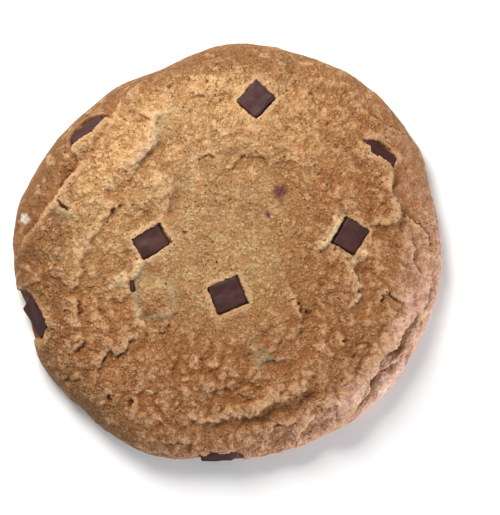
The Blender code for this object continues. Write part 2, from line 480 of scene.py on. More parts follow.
def open_crust(crust, near, inside, above, up, lip, lap, drop=2.2, torn=0.6):
    """Sinks the crust where inside is above zero to below a chunk's top, and lifts its rim."""
    open_to = smooth_step(inside, -0.1, 0.25)
    sink = np.minimum(-drop - above, 0.0)
    lift = bell(np.minimum(inside, 0.0), 1.6) * (lip + 0.7 * lap)
    crust.points[near] += up * (lift * (1 - open_to) * MM)[:, None]
    crust.points[near] += up * (sink * open_to * MM)[:, None]
    frayed = smooth_step(crust.crumble[near], -0.7, 0.2)
    crust.note("torn", near, (torn + 0.4 * lap) * frayed * bell(inside + 0.05, 0.42))
    # Painted shade round the chunk's seat.
    crust.note("painted_shade", near, 0.5 * bell(inside, 0.7))
    # The dark noted for the split is painted shade where the crust sinks under the chunk.
    crust.note("split", near, 0.7 * smooth_step(inside, 0.15, 0.5))


def seat(crust, block, gaps, covers):
    """Opens the crust over one chunk. gaps are the open clefts beside it and covers how far the
    crust laps over it, each in millimetres at its right, left, far and near side."""
    place = block.local(crust.points)
    a, b = block.half[0] / MM, block.half[1] / MM
    near = np.nonzero(
        (np.abs(place[:, 0]) < a + 5) & (np.abs(place[:, 1]) < b + 5) & (np.abs(place[:, 2]) < 4)
    )[0]
    near = near[crust.upper[near] > 0.01]
    u, v, w = place[near].T
    right, leftward, far, front = (g - c for g, c in zip(gaps, covers))
    inside = np.minimum.reduce([a + right - u, a + leftward + u, b + far - v, b + front + v])
    inside = inside + 0.28 * crust.crumble[near]
    lap = np.maximum.reduce([
        covers[0] * bell(u - a, 1.6),
        covers[1] * bell(u + a, 1.6),
        covers[2] * bell(v - b, 1.6),
        covers[3] * bell(v + b, 1.6),
    ])
    lap = np.minimum(lap, 1.0)
    open_crust(crust, near, inside, w, np.array(block.up), 0.25, lap, torn=0.4)


def mouth(
    crust, block, corners, lip=0.3, ragged=0.3, drop=1.8, torn=0.5, crisp=(), cover=0.5
):
    """Opens the crust over one chunk where a ring of corners seen from above says, and covers
    what else there is of the chunk by at least cover. Sides of the ring that are listed as crisp
    are the chunk's own edges, without crumbs."""
    place = block.local(crust.points)
    near = np.nonzero(
        (np.abs(place[:, 0]) < 11) & (np.abs(place[:, 1]) < 11) & (np.abs(place[:, 2]) < 8)
    )[0]
    near = near[crust.normals[near, 2] > -0.5]
    flat = crust.points[near, :2] / MM
    inside = depth_inside(flat, corners)
    fray = np.full(len(near), ragged)
    ring = np.array(corners, float)
    for side in crisp:
        a, b = ring[side], ring[(side + 1) % len(ring)]
        share = np.clip(((flat - a) @ (b - a)) / ((b - a) @ (b - a)), 0.0, 1.0)
        gap = np.linalg.norm(flat - (a + share[:, None] * (b - a)), axis=1)
        fray = np.minimum(fray, ragged * smooth_step(gap, 0.6, 1.6))
    inside = inside + fray * crust.crumble[near]
    lap = smooth_step(fray, 0.0, ragged)
    u, v, w = place[near].T
    beyond = np.maximum(np.abs(u) - block.half[0] / MM, np.abs(v) - block.half[1] / MM)
    hidden = (1.0 - smooth_step(beyond, 0.4, 2.4)) * (1.0 - smooth_step(inside, -0.3, 0.1))
    raised = np.maximum(cover - w, 0.0) * hidden * (w > -2.5)
    crust.points[near] += np.array(block.up) * (raised * MM)[:, None]
    open_crust(crust, near, inside, w + raised, np.array(block.up), lip * lap, 0.4 * lap,
               drop=drop, torn=torn * lap)


def chocolate_piece(node, name, block, seed):
    """One chunk of chocolate with bowed faces and slightly broken edges."""
    piece = copy_solid(node, name)
    if node in CHIPS:
        start, slant = CHIPS[node]
        slant = math.radians(slant)
        edit(piece)
        bpy.ops.mesh.select_all(action="SELECT")
        bpy.ops.mesh.bisect(
            plane_co=block.middle + block.along * start * MM,
            plane_no=block.along * math.sin(slant) + block.up * math.cos(slant),
            use_fill=True,
            clear_outer=True,
        )
        close_edit()
    finish_modifier(piece, "REMESH", mode="VOXEL", voxel_size=CHOCOLATE_GRAIN, adaptivity=0.0)
    finish_modifier(piece, "SMOOTH", factor=0.5, iterations=5)
    swell(piece, cloud(name + "_bow", 4.4 + 0.2 * seed, 1), 0.75)
    swell(piece, cloud(name + "_nick", 1.1 + 0.03 * seed, 2), 0.12)
    finish_modifier(piece, "SMOOTH", factor=0.4, iterations=2)
    take(piece)
    bpy.ops.object.shade_smooth()
    piece.data.materials.append(RIM_CHOCOLATE if node.endswith("_edge") else CHOCOLATE)
    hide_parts(node)
    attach(piece, "root")
    return piece


# ---------------------------------------------------------------- materials


class Mixer:
    """Builds a material's nodes one after another."""

    def __init__(self, name):
        self.material = bpy.data.materials.new(name)
        self.material.use_nodes = True
        self.nodes = self.material.node_tree.nodes
        self.links = self.material.node_tree.links
        self.shader = self.nodes["Principled BSDF"]
        self.place = self.nodes.new("ShaderNodeTexCoord").outputs["Object"]
        self.colour = None

    def plug(self, socket, value):
        if isinstance(value, bpy.types.NodeSocket):
            self.links.new(value, socket)
        elif isinstance(value, tuple) and len(value) == 3 and socket.type == "RGBA":
            socket.default_value = (*value, 1.0)
        else:
            socket.default_value = value

    def note(self, name):
        node = self.nodes.new("ShaderNodeAttribute")
        node.attribute_name = name
        return node.outputs["Fac"]

    def noise(self, size, detail=3.0, rough=0.55):
        """Noise between 0 and 1 with lumps of a size in millimetres."""
        node = self.nodes.new("ShaderNodeTexNoise")
        self.plug(node.inputs["Vector"], self.place)
        node.inputs["Scale"].default_value = 1.0 / (size * MM)
        node.inputs["Detail"].default_value = detail
        node.inputs["Roughness"].default_value = rough
        return node.outputs["Fac"]

    def cells(self, size, vector):
        """A Voronoi node with cells of a size in millimetres."""
        node = self.nodes.new("ShaderNodeTexVoronoi")
        self.plug(node.inputs["Vector"], vector)
        node.inputs["Scale"].default_value = 1.0 / (size * MM)
        return node

    def pores(self, size, share, radius, vector):
        """Round holes: a share of the cells of a size in millimetres has one, each of its own
        width up to a radius, given as a share of the cell."""
        node = self.cells(size, vector)
        split = self.nodes.new("ShaderNodeSeparateColor")
        self.plug(split.inputs["Color"], node.outputs["Color"])
        chance = split.outputs["Red"]
        width = self.ramp(chance, 1.0 - share, 1.0, 0.0, radius)
        beyond = self.sum("SUBTRACT", node.outputs["Distance"], width)
        hole = self.ramp(beyond, -0.07, 0.05, 1.0, 0.0)
        return self.times(hole, self.ramp(chance, 1.0 - share, 1.0 - 0.8 * share))

    def warped(self, size, amount):
        """Object places shifted by noise, both in millimetres."""
        node = self.nodes.new("ShaderNodeTexNoise")
        self.plug(node.inputs["Vector"], self.place)
        node.inputs["Scale"].default_value = 1.0 / (size * MM)
        node.inputs["Detail"].default_value = 2.0
        shift = self.nodes.new("ShaderNodeVectorMath")
        shift.operation = "MULTIPLY_ADD"
        self.plug(shift.inputs[0], node.outputs["Color"])
        shift.inputs[1].default_value = (amount * MM,) * 3
        self.plug(shift.inputs[2], self.place)
        return shift.outputs["Vector"]

    def ramp(self, value, low, high, to_low=0.0, to_high=1.0):
        node = self.nodes.new("ShaderNodeMapRange")
        node.interpolation_type = "SMOOTHSTEP"
        self.plug(node.inputs["Value"], value)
        node.inputs["From Min"].default_value = low
        node.inputs["From Max"].default_value = high
        node.inputs["To Min"].default_value = to_low
        node.inputs["To Max"].default_value = to_high
        return node.outputs["Result"]

    def sum(self, operation, a, b):
        node = self.nodes.new("ShaderNodeMath")
        node.operation = operation
        self.plug(node.inputs[0], a)
        self.plug(node.inputs[1], b)
        return node.outputs["Value"]

    def times(self, a, b):
        return self.sum("MULTIPLY", a, b)

    def mix(self, share, a, b, blend="MIX"):
        node = self.nodes.new("ShaderNodeMix")
        node.data_type = "RGBA"
        node.blend_type = blend
        self.plug(node.inputs["Factor"], share)
        self.plug(node.inputs[6], a)
        self.plug(node.inputs[7], b)
        return node.outputs[2]

    def lay(self, share, colour, blend="MIX"):
        """Lays a colour over the material's own."""
        self.colour = self.mix(share, self.colour, colour, blend)

    def bump(self, height, distance, below=None):
        node = self.nodes.new("ShaderNodeBump")
        node.inputs["Strength"].default_value = 1.0
        node.inputs["Distance"].default_value = distance * MM
        self.plug(node.inputs["Height"], height)
        if below is not None:
            self.plug(node.inputs["Normal"], below)
        return node.outputs["Normal"]


def crust_material():
    """Baked dough: tan and finely pored, toasted at the rim, cream where the crust tore, with
    painted shade in its cracks, creases and pores and painted highlight on its lips and crests.
    """
    m = Mixer("baked_crust")
    broad = m.noise(15.0, 2.0)
    medium = m.noise(3.6, 4.0, 0.62)
    crumb = m.noise(0.95, 3.0, 0.65)
    grit = m.noise(0.4, 2.0, 0.7)
    lively = m.ramp(m.note("calm"), 0.0, 1.0, 1.0, 0.3)

    def some(share):
        return m.times(share, lively)

    def frayed(name, low, high, least, most):
        return m.times(m.note(name), m.ramp(crumb, low, high, least, most))

    m.colour = m.mix(m.ramp(broad, 0.35, 0.65), (0.515, 0.316, 0.135), (0.395, 0.242, 0.103))
    # The middle and the inner left darkened to olive: partly the dough's own tone, partly painted
    # shade of the sunken middle.
    patches = m.ramp(m.noise(8.0, 2.0), 0.4, 0.62)
    olive = m.mix(patches, (0.375, 0.252, 0.110), (0.255, 0.165, 0.066))
    m.lay(m.note("pale"), olive)
    # A darker crescent at the right of the sunken middle: partly the dough's own tone, partly
    # painted shade.
    m.lay(m.times(m.note("dusk"), 0.8), (0.275, 0.160, 0.060))
    patchy = m.times(m.sum("SUBTRACT", medium, 0.5), 1.6)
    # Redder and darker to the right and below: partly browning, partly painted shade of the light
    # fading away from the upper left.
    toast_and_shade = m.sum("ADD", m.note("toast_and_shade"), patchy)
    m.lay(m.ramp(toast_and_shade, -0.1, 1.0), (0.228, 0.080, 0.022))
    m.lay(m.ramp(m.note("rim"), 0.0, 1.0), (0.135, 0.056, 0.014))
    # Pink at the lower right rim: partly the crust's own colour, partly a painted sheen of cool
    # light.
    pink_and_sheen = m.ramp(m.noise(3.2, 3.0, 0.6), 0.36, 0.6, 0.35, 1.0)
    pink_and_sheen = m.times(m.note("pink_and_sheen"), pink_and_sheen)
    m.lay(pink_and_sheen, (0.78, 0.49, 0.40))

    # The fine crumb below is coloured to match its bump: partly the crumb's own grain, partly
    # painted shade where the bump sinks and painted highlight where it rises.
    bent = m.warped(1.2, 0.3)
    grain = m.cells(0.95, bent).outputs["Distance"]
    fine = m.pores(0.7, 0.75, 0.3, m.warped(0.6, 0.25))
    line = m.sum("ABSOLUTE", m.sum("SUBTRACT", m.noise(1.5, 1.5, 0.5), 0.5), 0.0)
    worms = m.times(
        m.ramp(line, 0.0, 0.035, 1.0, 0.0), m.ramp(m.noise(2.4, 1.0), 0.44, 0.58)
    )
    m.lay(some(m.ramp(grain, 0.08, 0.36, 0.26, 0.0)), (0.74, 0.50, 0.29))
    m.lay(some(m.ramp(grain, 0.44, 0.72, 0.0, 0.6)), (0.30, 0.105, 0.022))
    m.lay(some(m.ramp(crumb, 0.28, 0.50, 0.5, 0.0)), (0.33, 0.128, 0.032))
    m.lay(some(m.ramp(crumb, 0.54, 0.76, 0.0, 0.5)), (0.77, 0.49, 0.255))
    m.lay(some(m.times(fine, 0.8)), (0.27, 0.092, 0.020))
    m.lay(some(m.times(worms, 0.7)), (0.25, 0.085, 0.018))
    mottle = m.noise(2.3, 2.0, 0.5)
    m.lay(m.ramp(mottle, 0.32, 0.52, 0.48, 0.0), (0.27, 0.130, 0.042))
    m.lay(m.ramp(mottle, 0.52, 0.72, 0.0, 0.4), (0.70, 0.46, 0.25))
    # The grit's light tops are partly painted highlight and its dark lows partly painted shade.
    m.lay(some(m.ramp(grit, 0.50, 0.74, 0.0, 0.5)), (0.78, 0.53, 0.30))
    m.lay(some(m.ramp(grit, 0.30, 0.44, 0.8, 0.0)), (0.24, 0.080, 0.016))

    # Lighter on crests as painted highlight, darker in clefts as painted shade.
    ridge = m.note("ridge")
    m.lay(some(m.ramp(ridge, 0.1, 0.9, 0.0, 0.4)), (0.70, 0.45, 0.25))
    m.lay(m.ramp(ridge, -0.85, -0.05, 0.6, 0.0), (0.24, 0.088, 0.022))
    # Painted shade in the valleys of the creases.
    m.lay(m.ramp(m.note("crease"), 0.2, 0.9, 0.0, 0.65), (0.21, 0.075, 0.018))
    # Painted highlight, pale cream, on the raised lips of the steps.
    m.lay(frayed("lip", 0.4, 0.6, 0.05, 0.45), (0.72, 0.49, 0.28))
    # Painted shade at the foot of steps, in clefts and round the chunks.
    m.lay(m.times(m.note("painted_shade"), 0.42), (0.28, 0.115, 0.036))

    m.lay(frayed("torn", 0.25, 0.6, 0.35, 1.0), (0.74, 0.55, 0.31))
    green = m.times(m.note("green"), m.ramp(medium, 0.35, 0.6, 0.25, 0.85))
    m.lay(green, (0.32, 0.265, 0.145))
    # Whitish spots where the stains put them.
    m.lay(frayed("whitish", 0.35, 0.6, 0.4, 0.9), (0.70, 0.66, 0.60))

    # A slight further darkening by the same note, partly browning and partly painted shade.
    browned_and_shaded = m.ramp(m.note("toast_and_shade"), 0.0, 0.5, 0.1, 1.0)
    m.lay(browned_and_shaded, (0.965, 0.935, 0.90), "MULTIPLY")

    # Pores and pinholes, which the bump sinks: dark partly as the browner dough and partly as
    # painted shade in the holes.
    pores = m.pores(1.25, 0.7, 0.2, m.warped(0.9, 0.3))
    m.lay(some(m.times(pores, 0.85)), (0.15, 0.050, 0.012))
    holes = m.pores(2.1, 0.65, 0.14, m.warped(0.8, 0.4))
    m.lay(m.times(holes, 0.9), (0.06, 0.02, 0.008))
    # Painted shade, near black, in the cracks, clefts and pits.
    m.lay(m.ramp(m.note("split"), 0.15, 0.9, 0.0, 0.85), (0.105, 0.034, 0.010))

    m.lay(frayed("smear", 0.28, 0.5, 0.45, 1.0), (0.13, 0.035, 0.03))
    m.plug(m.shader.inputs["Base Color"], m.colour)

    rough = m.ramp(crumb, 0.3, 0.7, 0.66, 0.88)
    rough = m.sum("SUBTRACT", rough, m.times(m.note("calm"), 0.14))
    rough = m.sum("SUBTRACT", rough, m.times(m.note("smear"), 0.15))
    m.plug(m.shader.inputs["Roughness"], rough)
    m.shader.inputs["Specular IOR Level"].default_value = 0.25
    m.shader.inputs["Subsurface Weight"].default_value = 0.3
    m.shader.inputs["Subsurface Radius"].default_value = (1.0, 0.45, 0.2)
    m.shader.inputs["Subsurface Scale"].default_value = 0.7 * MM

    sunk = m.sum("MAXIMUM", m.times(fine, 0.5), m.sum("MAXIMUM", pores, holes))
    sunk = m.sum("MAXIMUM", sunk, m.times(worms, 0.7))
    normal = m.bump(some(m.noise(2.0, 3.0, 0.6)), 0.7)
    normal = m.bump(some(m.ramp(grain, 0.0, 0.8, 1.0, 0.0)), 0.28, normal)
    normal = m.bump(some(grit), 0.1, normal)
    normal = m.bump(m.sum("SUBTRACT", 1.0, sunk), 0.25, normal)
    m.plug(m.shader.inputs["Normal"], normal)
    return m.material


def chocolate_material(name, gloss):
    """Dark chocolate: purple brown, satin, with a faint dusty bloom and fine scratches."""
    m = Mixer(name)
    haze = m.noise(4.5, 2.0, 0.5)
    speck = m.noise(0.45, 3.0, 0.7)
    m.colour = m.mix(m.ramp(haze, 0.35, 0.7), (0.041, 0.0142, 0.0128), (0.057, 0.0225, 0.021))
    m.lay(m.ramp(speck, 0.5, 0.8, 0.0, 0.3), (0.11, 0.055, 0.052))
    m.plug(m.shader.inputs["Base Color"], m.colour)
    m.plug(m.shader.inputs["Roughness"], m.ramp(haze, 0.3, 0.7, 0.42, 0.55))
    m.shader.inputs["Specular IOR Level"].default_value = gloss
    normal = m.bump(m.noise(3.0, 2.0), 0.1)
    normal = m.bump(m.noise(0.35, 3.0, 0.7), 0.03, normal)
    m.plug(m.shader.inputs["Normal"], normal)
    return m.material


def crumb_material():
    """Loose crumbs: the pale inside of the dough."""
    m = Mixer("loose_crumb")
    colour = m.mix(m.noise(0.7, 3.0), (0.60, 0.38, 0.19), (0.40, 0.20, 0.08))
    m.plug(m.shader.inputs["Base Color"], colour)
    m.shader.inputs["Roughness"].default_value = 0.85
    m.plug(m.shader.inputs["Normal"], m.bump(m.noise(0.3, 3.0), 0.08))
    return m.material


CHOCOLATE = chocolate_material("dark_chocolate", 0.17)
RIM_CHOCOLATE = chocolate_material("dark_chocolate_side", 0.04)

# ---------------------------------------------------------------- sculpting the dough

# Tears and folds of the crust: corners of the path in millimetres, then rise, fall and split.
FOLDS = (
    # The long step round the upper left, and the cracks that go on from it.
    dict(
        corners=((-12.9, 37.7), (-15.2, 35.1), (-18.5, 32.1), (-18.2, 28.8), (-19.3, 26.2),
                 (-22.0, 23.7), (-23.3, 20.9), (-24.5, 18.6)),
        rise=0.75, fall=0.6, split=0.2, torn=0.6, wall=1.5, crest=3.2, ragged=0.7, gape=0.4,
    ),
    dict(
        corners=((-22.5, 19.8), (-26.5, 17.2), (-30.2, 15.5), (-31.2, 12.0)),
        rise=0.4, fall=0.4, split=0.3, wall=1.0,
    ),
    dict(
        corners=((-26.0, 11.6), (-28.2, 10.0), (-30.5, 8.9), (-31.7, 5.7), (-33.1, 3.7),
                 (-34.5, 0.8), (-36.5, -2.6), (-36.1, -6.1), (-38.3, -8.7), (-40.3, -8.1),
                 (-43.4, -4.9), (-44.0, -1.8), (-43.4, 1.1)),
        rise=0.5, fall=0.4, split=0.4, wall=0.8, ragged=0.6,
    ),
    # The edge of the sunken middle.
    dict(
        corners=((-19.5, 20.2), (-16.2, 18.6), (-14.8, 16.9), (-14.6, 12.6), (-15.6, 10.4),
                 (-17.4, 8.9)),
        rise=0.5, fall=0.6, split=0.25, torn=0.35, wall=1.6, ragged=0.7,
    ),
    dict(
        corners=((-7.8, 22.9), (-6.0, 23.7), (-4.2, 23.9), (-2.2, 23.2)),
        rise=0.08, fall=0.35, split=0.5, high="left", gape=0.25, hollow=6.0,
    ),
    dict(
        corners=((-1.2, 21.6), (0.9, 20.6), (2.2, 22.7), (4.0, 23.7), (8.0, 23.7),
                 (10.4, 22.2), (14.0, 22.6), (16.9, 22.6), (19.0, 21.2)),
        rise=0.1, fall=0.55, split=0.4, high="left", gape=0.22, fade=0.06, hollow=7.0,
    ),
    dict(
        corners=((-9.6, 38.7), (-6.5, 39.0), (-2.2, 39.2), (1.7, 40.5)),
        rise=0.3, fall=0.1, split=0.35, high="left", gape=0.25, wander=0.3, crest=6.0,
    ),
    # The plate of crust at the right, and the torn wall beside the chunk there.
    dict(
        corners=((36.5, 21.6), (38.6, 20.8), (40.6, 19.8), (40.9, 16.0), (41.5, 13.2),
                 (42.6, 11.2), (42.0, 8.3), (39.6, 7.4), (36.6, 7.1), (35.2, 7.7)),
        rise=0.7, fall=0.8, split=0.35, over=0.15, torn=0.3, wall=0.9, crest=3.2, fade=0.06,
        ragged=0.6,
    ),
    dict(
        corners=((28.6, 11.2), (27.6, 9.2), (27.0, 6.0), (25.0, 3.1), (23.1, 1.5), (21.5, 0.8)),
        rise=0.7, fall=0.8, split=0.1, torn=1.0, wall=1.5, crest=3.2, hollow=2.0, wander=0.25,
    ),
    dict(
        corners=((23.6, 2.2), (26.3, 1.4), (26.8, 0.3), (29.1, -0.3), (30.3, -3.2),
                 (31.7, -5.5), (32.6, -7.8), (32.3, -11.3), (30.6, -13.3), (29.0, -14.6)),
        rise=0.65, fall=0.6, split=0.4, over=0.15, torn=0.5, wall=0.8, crest=3.2, ragged=0.5,
    ),
    dict(
        corners=((30.3, 18.0), (28.3, 16.6), (25.8, 14.3)),
        rise=0.2, fall=0.3, split=0.2, high="left",
    ),
    # Cracks in and round the sunken middle, towards the lower right.
    dict(
        corners=((13.3, -6.5), (15.8, -8.3), (16.5, -10.0), (17.8, -13.3), (18.6, -17.8),
                 (18.2, -22.2), (17.0, -23.8)),
        rise=0.35, fall=0.35, split=0.45, wander=0.6,
    ),
    dict(
        corners=((7.7, -28.3), (9.7, -27.0), (13.8, -26.8), (16.3, -26.3)),
        rise=0.35, fall=0.35, split=0.3, high="left", wander=0.25,
    ),
    # The two great folds towards the lower edge.
    dict(
        corners=((-9.5, -41.2), (-6.0, -42.0), (-3.0, -42.1), (-1.5, -40.8), (3.6, -40.5),
                 (6.2, -40.0), (9.0, -38.4), (11.3, -36.6), (13.8, -36.5), (16.4, -35.4),
                 (18.7, -34.2), (19.7, -31.3), (22.0, -29.6)),
        rise=0.9, fall=0.8, split=0.1, high="left", over=0.1, torn=0.25, wall=1.1,
        crest=3.2, hollow=3.0, gape=0.5, fade=0.1, ragged=0.5,
    ),
    dict(
        corners=((-6.5, -35.6), (-4.0, -34.7), (0.5, -33.6), (2.5, -32.8), (4.5, -31.5)),
        rise=0.25, fall=0.2, split=0.4, high="left",
    ),
    dict(
        corners=((17.6, -46.6), (19.5, -43.8), (20.2, -42.1), (21.5, -40.0), (23.5, -38.7),
                 (25.6, -37.7), (28.2, -37.2)),
        rise=0.6, fall=0.7, split=0.3, high="left", torn=0.2, wall=0.9, ragged=0.5,
    ),
    dict(
        corners=((9.5, -44.6), (12.5, -43.2), (15.5, -42.9), (17.6, -41.6)),
        rise=0.3, fall=0.35, split=0.4, high="left",
    ),
    # The crust that stands out over the foot at the lower right.
    dict(
        corners=((47.4, -14.6), (46.7, -16.1), (44.6, -18.5), (43.1, -21.8), (41.2, -24.7),
                 (39.3, -25.7), (37.9, -27.8), (37.4, -29.5), (36.2, -31.2), (35.2, -34.5),
                 (33.6, -37.4), (31.7, -39.3), (28.8, -42.2), (24.5, -44.8)),
        rise=0.8, fall=0.8, split=0.9, over=0.4, wall=0.3, crest=4.2, hollow=1.2,
        gape=0.36, wander=0.25, fade=0.1, uneven=0.4, ragged=0.12,
    ),
    dict(
        corners=((45.8, -24.0), (44.1, -25.4), (42.2, -27.3), (41.0, -28.8), (38.1, -29.9)),
        rise=0.5, fall=0.7, split=0.8, gape=0.45, wander=0.25, crest=1.6, ragged=0.2,
    ),
    # Wrinkles at the right rim.
    dict(
        corners=((43.0, 11.2), (45.2, 8.3), (47.5, 7.1), (50.1, 4.3), (50.8, 1.0)),
        rise=0.4, fall=0.4, split=0.5,
    ),
    dict(
        corners=((44.4, 6.0), (46.4, 1.4), (46.4, -1.8), (47.6, -4.6), (49.6, -5.8)),
        rise=0.35, fall=0.3, split=0.45,
    ),
    dict(
        corners=((38.3, -13.2), (38.6, -10.7), (40.3, -10.4), (42.2, -11.7), (44.5, -12.2)),
        rise=0.3, fall=0.3, split=0.5, high="left",
    ),
    dict(
        corners=((51.3, -4.0), (51.3, -7.7), (50.9, -10.6), (50.1, -13.4), (49.2, -16.5),
                 (47.6, -20.5), (46.6, -23.3)),
        rise=0.2, fall=0.35, split=0.45, gape=0.6, wander=0.3,
    ),
    dict(
        corners=((31.0, 39.6), (35.0, 34.8), (39.0, 32.3), (43.3, 29.8), (46.3, 27.3)),
        rise=0.35, fall=0.35, split=0.3,
    ),
    # The crease between the crust and the side at the left.
    dict(
        corners=((-52.2, -1.2), (-51.0, 2.2), (-50.0, 4.3), (-47.5, 6.9), (-46.3, 8.9),
                 (-43.2, 12.9), (-41.4, 16.0), (-39.4, 18.9), (-37.4, 21.2), (-36.0, 23.4)),
        rise=0.8, fall=0.9, split=0.6, wall=0.6, crest=3.0, hollow=2.8, gape=0.6, wander=0.35,
    ),
    dict(
        corners=((-33.6, 25.4), (-31.2, 28.6), (-29.2, 32.4), (-27.0, 36.3), (-24.2, 40.2),
                 (-20.4, 43.2)),
        rise=0.4, fall=0.5, split=0.3, wall=0.6,
    ),
    dict(
        corners=((-6.5, 46.9), (-2.0, 48.3), (2.6, 48.9)),
        rise=0.2, fall=0.25, split=0.2,
    ),
    dict(
        corners=((-52.0, -2.8), (-49.8, -3.6), (-47.8, -5.0), (-46.6, -7.6)),
        rise=0.3, fall=0.4, split=0.4,
    ),
    # Grooves and cracks of the lower left.
    dict(
        corners=((-36.8, -9.3), (-37.0, -13.6), (-36.7, -16.3), (-36.0, -19.8), (-35.5, -22.8),
                 (-38.5, -24.7), (-39.8, -25.8)),
        rise=0.4, fall=0.35, split=0.5, gape=0.5,
    ),
    dict(
        corners=((-31.9, -10.0), (-31.7, -14.9), (-29.8, -17.9), (-28.7, -21.4), (-27.6, -23.0)),
        rise=0.35, fall=0.3, split=0.45,
    ),
    dict(
        corners=((-32.4, -30.0), (-31.7, -27.9), (-30.6, -26.3), (-29.8, -24.7), (-28.7, -24.4),
                 (-26.8, -25.2), (-25.7, -23.9), (-24.4, -22.0), (-22.5, -20.9), (-20.0, -18.9)),
        rise=0.65, fall=0.65, split=0.6, high="left", over=0.3, torn=0.3, wall=0.5,
    ),
    dict(
        corners=((-20.9, -1.9), (-21.9, -4.4), (-24.1, -7.4), (-23.8, -10.0), (-22.8, -12.5),
                 (-21.7, -15.5), (-20.4, -18.8)),
        rise=0.6, fall=0.6, split=0.15, torn=0.5, wall=0.8, fade=0.05,
    ),
    dict(
        corners=((-12.2, -14.2), (-13.2, -15.4), (-14.6, -16.5), (-14.6, -17.9), (-15.9, -19.8),
                 (-18.2, -20.3)),
        rise=0.3, fall=0.3, split=0.45,
    ),
    dict(
        corners=((-40.8, -32.8), (-39.8, -31.5), (-38.2, -32.0), (-36.2, -30.6)),
        rise=0.3, fall=0.3, split=0.4, high="left",
    ),
    dict(
        corners=((-23.4, -35.4), (-21.1, -34.4), (-19.0, -35.3), (-17.6, -34.7), (-16.0, -36.0)),
        rise=0.25, fall=0.25, split=0.4, high="left",
    ),
    dict(
        corners=((-20.2, -33.0), (-19.0, -31.7), (-17.2, -32.1)),
        rise=0.2, fall=0.2, split=0.4, high="left",
    ),
    dict(
        corners=((-17.0, -47.2), (-14.4, -47.7), (-11.8, -47.5), (-8.6, -47.8)),
        rise=0.3, fall=0.35, split=0.45, high="left", wander=0.25,
    ),
)

# The brown band between the crust's edge and the outline, at the upper left.
BAND = (
    (-52.6, -1.4), (-50.0, 4.3), (-46.3, 8.9), (-43.2, 12.9), (-39.4, 18.9), (-36.0, 23.4),
    (-33.0, 28.6), (-29.2, 33.4), (-24.2, 40.2), (-18.0, 44.6), (-8.0, 47.0), (0.0, 48.6),
    (12.0, 48.4), (12.0, 60.0), (-70.0, 60.0), (-70.0, -1.4),
)

# Clefts under the edge of the crust, with the low side at the left of the path: how far in and
# how high, in millimetres.
CLEFTS = (
    dict(
        corners=((51.3, -12.3), (48.8, -14.5), (46.5, -17.3), (44.8, -19.0), (43.5, -21.3),
                 (42.0, -23.3), (40.0, -25.0), (38.4, -27.0), (37.8, -29.5), (36.0, -31.5),
                 (34.8, -34.0), (34.0, -36.0), (31.7, -39.3)),
        depth=0.8, height=0.6,
    ),
    dict(
        corners=((45.6, -24.6), (44.8, -25.8), (41.5, -28.0), (38.4, -29.6)),
        depth=1.2, height=0.9,
    ),
    dict(
        corners=((22.8, -31.3), (19.8, -33.9), (15.5, -36.0), (12.0, -36.8), (10.0, -38.0),
                 (7.0, -39.3), (3.0, -40.2), (-1.4, -40.2), (-5.0, -41.6)),
        depth=0.12, height=1.0,
    ),
)

# Patches of colour: note, x, y, width, depth, turn, strength and raggedness.
STAINS = (
    ("smear", 12.9, 15.1, 4.0, 3.4, 10, 1.0, 0.3, 0.4),
    ("smear", 14.2, 15.8, 2.0, 1.2, 20, 0.9, 0.3, 1.4),
    ("smear", 13.4, 12.7, 1.6, 1.2, 0, 0.7, 0.3, 2.4),
    ("smear", 10.2, 9.1, 1.8, 2.3, 10, 0.95, 0.3, 3.3),
    ("smear", 7.2, 14.9, 1.8, 1.3, 0, 0.3, 0.3, 4.3),
    ("smear", 11.3, 6.5, 1.4, 1.0, 0, 0.3, 0.3, 5.3),
    ("green", 8.2, -26.2, 6.0, 5.0, 25, 0.85, 0.3, 0.4),
    ("green", 6.5, -23.0, 4.0, 5.0, 25, 0.4, 0.3, 0.9),
    ("green", -16.5, 30.5, 5.5, 9.0, -20, 0.5, 0.3, 1.4),
    ("green", -11.3, 16.9, 5.5, 4.5, 25, 0.6, 0.3, 1.9),
    ("green", -40.8, 8.9, 5.0, 5.5, 25, 0.7, 0.3, 2.4),
    ("green", -41.6, -0.8, 4.0, 4.0, 0, 0.4, 0.3, 2.6),
    ("green", -20.5, -6.6, 9.0, 3.6, -8, 0.75, 0.3, 2.9),
    ("green", -26.5, -8.0, 3.5, 3.0, 0, 0.75, 0.3, 3.1),
    ("green", -22.0, -12.6, 2.6, 9.0, 12, 0.75, 0.3, 3.4),
    ("green", -13.4, -9.5, 2.6, 6.5, 0, 0.35, 0.3, 3.6),
    ("green", 31.5, -2.0, 3.4, 2.2, 25, 0.3, 0.3, 3.9),
    ("torn", -26.4, -6.6, 5.0, 3.0, 15, 0.6, 0.3, 1.9),
    ("whitish", -28.8, -8.6, 1.5, 1.0, 20, 0.7, 0.3, 1.2),
    ("torn", -22.2, -3.2, 1.6, 4.0, -35, 0.7, 0.3, 2.2),
    ("torn", 34.2, -0.6, 2.2, 3.0, -30, 0.9, 0.3, 4.9),
    ("torn", 31.8, -2.2, 1.6, 1.8, 0, 0.8, 0.3, 5.9),
    ("whitish", -50.6, 8.4, 2.6, 3.0, 20, 1.0, 0.2, 0.3),
)

